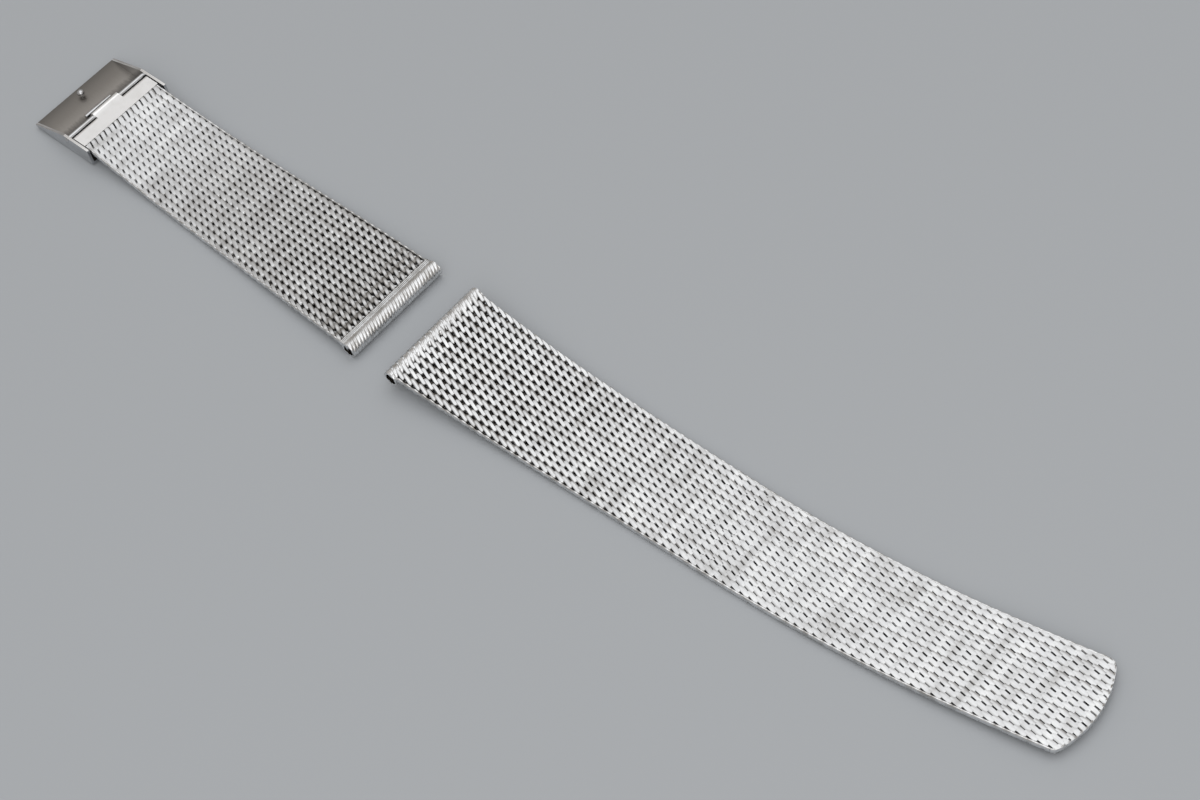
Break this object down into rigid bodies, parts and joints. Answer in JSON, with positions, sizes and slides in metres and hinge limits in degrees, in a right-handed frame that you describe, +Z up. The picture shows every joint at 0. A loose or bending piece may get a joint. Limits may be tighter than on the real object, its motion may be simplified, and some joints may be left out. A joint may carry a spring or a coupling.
{
  "type": "metal mesh watch bracelet",
  "caption": "Woven steel mesh watch bracelet in loose halves: rolled lug loops, flexible mesh, a rounded free tip and a hinged fold-over clasp.",
  "frame": {"origin": "centre of the long half's lug bore", "axes": "+X along the band towards the long half's free tip, +Y along the lug bore, +Z up from the table to the outer face"},
  "size_m": [0.2035, 0.0259, 0.0041],
  "materials": {
    "mesh_steel": "woven steel wire, ground on its face and bright",
    "clasp_steel": "polished steel sheet"
  },
  "bodies": {
    "long_lug_end": {"long_lug_loop": "mesh_steel", "long_mesh_lug": "mesh_steel"},
    "long_run_1": {"long_mesh_1": "mesh_steel"},
    "long_run_2": {"long_mesh_2": "mesh_steel"},
    "long_run_3": {"long_mesh_3": "mesh_steel"},
    "long_run_4": {"long_mesh_4": "mesh_steel"},
    "long_run_5": {"long_mesh_5": "mesh_steel"},
    "long_run_6": {"long_mesh_6": "mesh_steel"},
    "long_run_7": {"long_mesh_7": "mesh_steel"},
    "long_run_8": {"long_mesh_8": "mesh_steel"},
    "long_tip": {"long_mesh_tip": "mesh_steel"},
    "short_lug_end": {"short_lug_loop": "mesh_steel", "short_mesh_lug": "mesh_steel"},
    "short_run_1": {"short_mesh_1": "mesh_steel"},
    "short_run_2": {"short_mesh_2": "mesh_steel"},
    "short_run_3": {"short_mesh_3": "mesh_steel"},
    "short_run_4": {"short_mesh_4": "mesh_steel"},
    "clasp_base": {"short_mesh_clasp": "mesh_steel", "end_plate": "clasp_steel"},
    "cover": {"clasp_cover": "clasp_steel", "clasp_pin": "clasp_steel", "lip_nib": "clasp_steel", "bite_bar": "clasp_steel"}
  },
  "joints": [
    {"name": "long_bend_1", "type": "hinge", "parent": "long_run_1", "child": "long_lug_end", "pos_m": [0.00482, 0, 0], "axis": [0, 1, 0], "range_deg": [-30, 30]},
    {"name": "long_bend_2", "type": "hinge", "parent": "long_run_2", "child": "long_run_1", "pos_m": [0.01707, 0, -0.00128], "axis": [0, 1, 0], "range_deg": [-30, 30]},
    {"name": "long_bend_3", "type": "hinge", "parent": "long_run_3", "child": "long_run_2", "pos_m": [0.02938, 0, -0.00186], "axis": [0, 1, 0], "range_deg": [-30, 30]},
    {"name": "long_bend_4", "type": "hinge", "parent": "long_run_4", "child": "long_run_3", "pos_m": [0.04169, 0, -0.00208], "axis": [0, 1, 0], "range_deg": [-30, 30]},
    {"name": "long_bend_5", "type": "hinge", "parent": "long_run_5", "child": "long_run_4", "pos_m": [0.054, 0, -0.00208], "axis": [0, 1, 0], "range_deg": [-30, 30]},
    {"name": "long_bend_6", "type": "hinge", "parent": "long_run_5", "child": "long_run_6", "pos_m": [0.06632, 0, -0.00208], "axis": [0, -1, 0], "range_deg": [-30, 30]},
    {"name": "long_bend_7", "type": "hinge", "parent": "long_run_6", "child": "long_run_7", "pos_m": [0.07864, 0, -0.00197], "axis": [0, -1, 0], "range_deg": [-30, 30]},
    {"name": "long_bend_8", "type": "hinge", "parent": "long_run_7", "child": "long_run_8", "pos_m": [0.09095, 0, -0.00176], "axis": [0, -1, 0], "range_deg": [-30, 30]},
    {"name": "long_bend_9", "type": "hinge", "parent": "long_run_8", "child": "long_tip", "pos_m": [0.10325, 0, -0.0012], "axis": [0, -1, 0], "range_deg": [-30, 30]},
    {"name": "halves_part", "type": "slide", "parent": "long_run_5", "child": "short_run_2", "axis": [0, 0, 1], "range_m": [0, 0.03]},
    {"name": "short_bend_1", "type": "hinge", "parent": "short_run_1", "child": "short_lug_end", "pos_m": [-0.01476, 0.00045, -0.00098], "axis": [0, -1, 0], "range_deg": [-30, 30]},
    {"name": "short_bend_2", "type": "hinge", "parent": "short_run_2", "child": "short_run_1", "pos_m": [-0.02707, 0.00045, -0.00131], "axis": [0, -1, 0], "range_deg": [-30, 30]},
    {"name": "short_bend_3", "type": "hinge", "parent": "short_run_2", "child": "short_run_3", "pos_m": [-0.03938, 0.00045, -0.0018], "axis": [0, 1, 0], "range_deg": [-30, 30]},
    {"name": "short_bend_4", "type": "hinge", "parent": "short_run_3", "child": "short_run_4", "pos_m": [-0.05169, 0.00045, -0.00204], "axis": [0, 1, 0], "range_deg": [-30, 30]},
    {"name": "short_bend_5", "type": "hinge", "parent": "short_run_4", "child": "clasp_base", "pos_m": [-0.06399, 0.00045, -0.00148], "axis": [0, 1, 0], "range_deg": [-30, 30]},
    {"name": "cover_hinge", "type": "hinge", "parent": "clasp_base", "child": "cover", "pos_m": [-0.07884, 0.00175, 0.00019], "axis": [0, 1, 0], "range_deg": [0, 178]}
  ]
}
